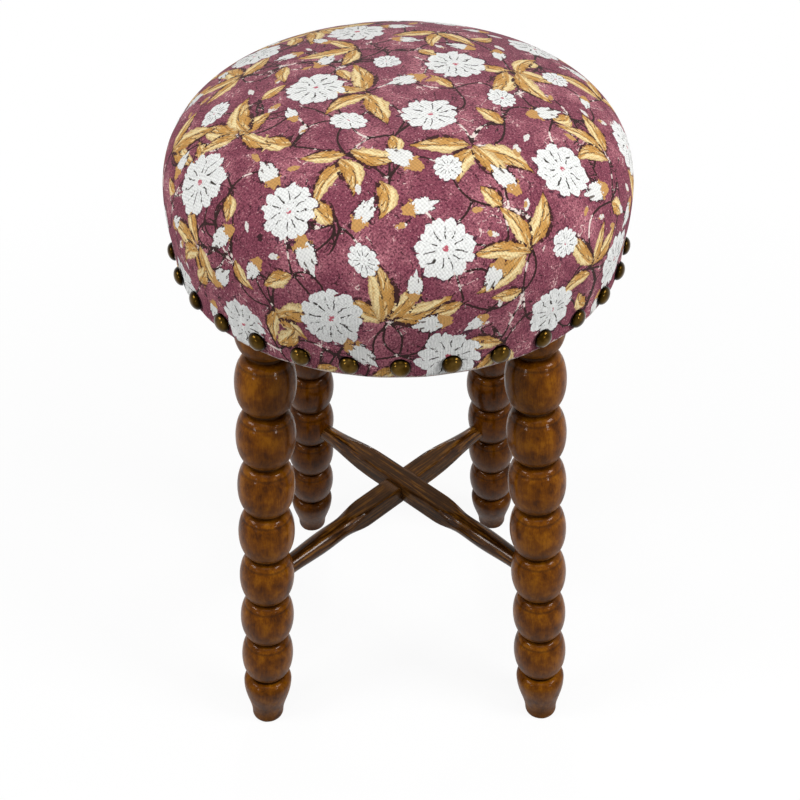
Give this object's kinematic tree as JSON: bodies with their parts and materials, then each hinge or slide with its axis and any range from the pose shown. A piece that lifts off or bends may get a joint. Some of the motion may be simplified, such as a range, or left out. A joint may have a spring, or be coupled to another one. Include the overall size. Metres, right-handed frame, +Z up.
{
  "type": "upholstered stool",
  "caption": "Low round stool with a domed floral seat, brass-nailed at the hem, on raked bobbin-turned legs joined by a half-lapped cross stretcher.",
  "frame": {"origin": "on the floor under the middle of the seat", "axes": "+Z up, -Y towards the front, where the wider pair of legs stands, +X to the right seen from the front"},
  "size_m": [0.3024, 0.3024, 0.531],
  "materials": {
    "turned_wood": "glossy amber-brown lacquer, darker in the grooves",
    "stretcher_wood": "dark brown lacquer, drier on the square",
    "plywood": "raw plywood",
    "foam": "open-cell foam",
    "wadding": "polyester wadding",
    "printed_cotton": "printed cotton canvas, plum ground with white and ochre flowers",
    "liner_cloth": "black non-woven liner",
    "antique_brass": "antique brass, polished domes",
    "screw_steel": "zinc-plated steel"
  },
  "bodies": {
    "root": {"leg_front_left": "turned_wood", "leg_screw_front_left": "screw_steel", "leg_front_right": "turned_wood", "leg_screw_front_right": "screw_steel", "leg_back_left": "turned_wood", "leg_screw_back_left": "screw_steel", "leg_back_right": "turned_wood", "leg_screw_back_right": "screw_steel", "stretcher_upper": "stretcher_wood", "stretcher_lower": "stretcher_wood", "seat_board": "plywood", "foam_pad": "foam", "wadding_wrap": "wadding", "fabric_cover": "printed_cotton", "dust_cover": "liner_cloth", "cover_nail_01": "antique_brass", "cover_nail_02": "antique_brass", "cover_nail_03": "antique_brass", "cover_nail_04": "antique_brass", "cover_nail_05": "antique_brass", "cover_nail_06": "antique_brass", "cover_nail_07": "antique_brass", "cover_nail_08": "antique_brass", "cover_nail_09": "antique_brass", "cover_nail_10": "antique_brass", "cover_nail_11": "antique_brass", "cover_nail_12": "antique_brass", "cover_nail_13": "antique_brass", "cover_nail_14": "antique_brass", "cover_nail_15": "antique_brass", "cover_nail_16": "antique_brass", "cover_nail_17": "antique_brass", "cover_nail_18": "antique_brass", "cover_nail_19": "antique_brass", "cover_nail_20": "antique_brass", "cover_nail_21": "antique_brass", "cover_nail_22": "antique_brass", "cover_nail_23": "antique_brass", "cover_nail_24": "antique_brass", "cover_nail_25": "antique_brass", "cover_nail_26": "antique_brass", "cover_nail_27": "antique_brass", "cover_nail_28": "antique_brass", "cover_nail_29": "antique_brass", "cover_nail_30": "antique_brass", "cover_nail_31": "antique_brass", "cover_nail_32": "antique_brass"}
  },
  "joints": []
}
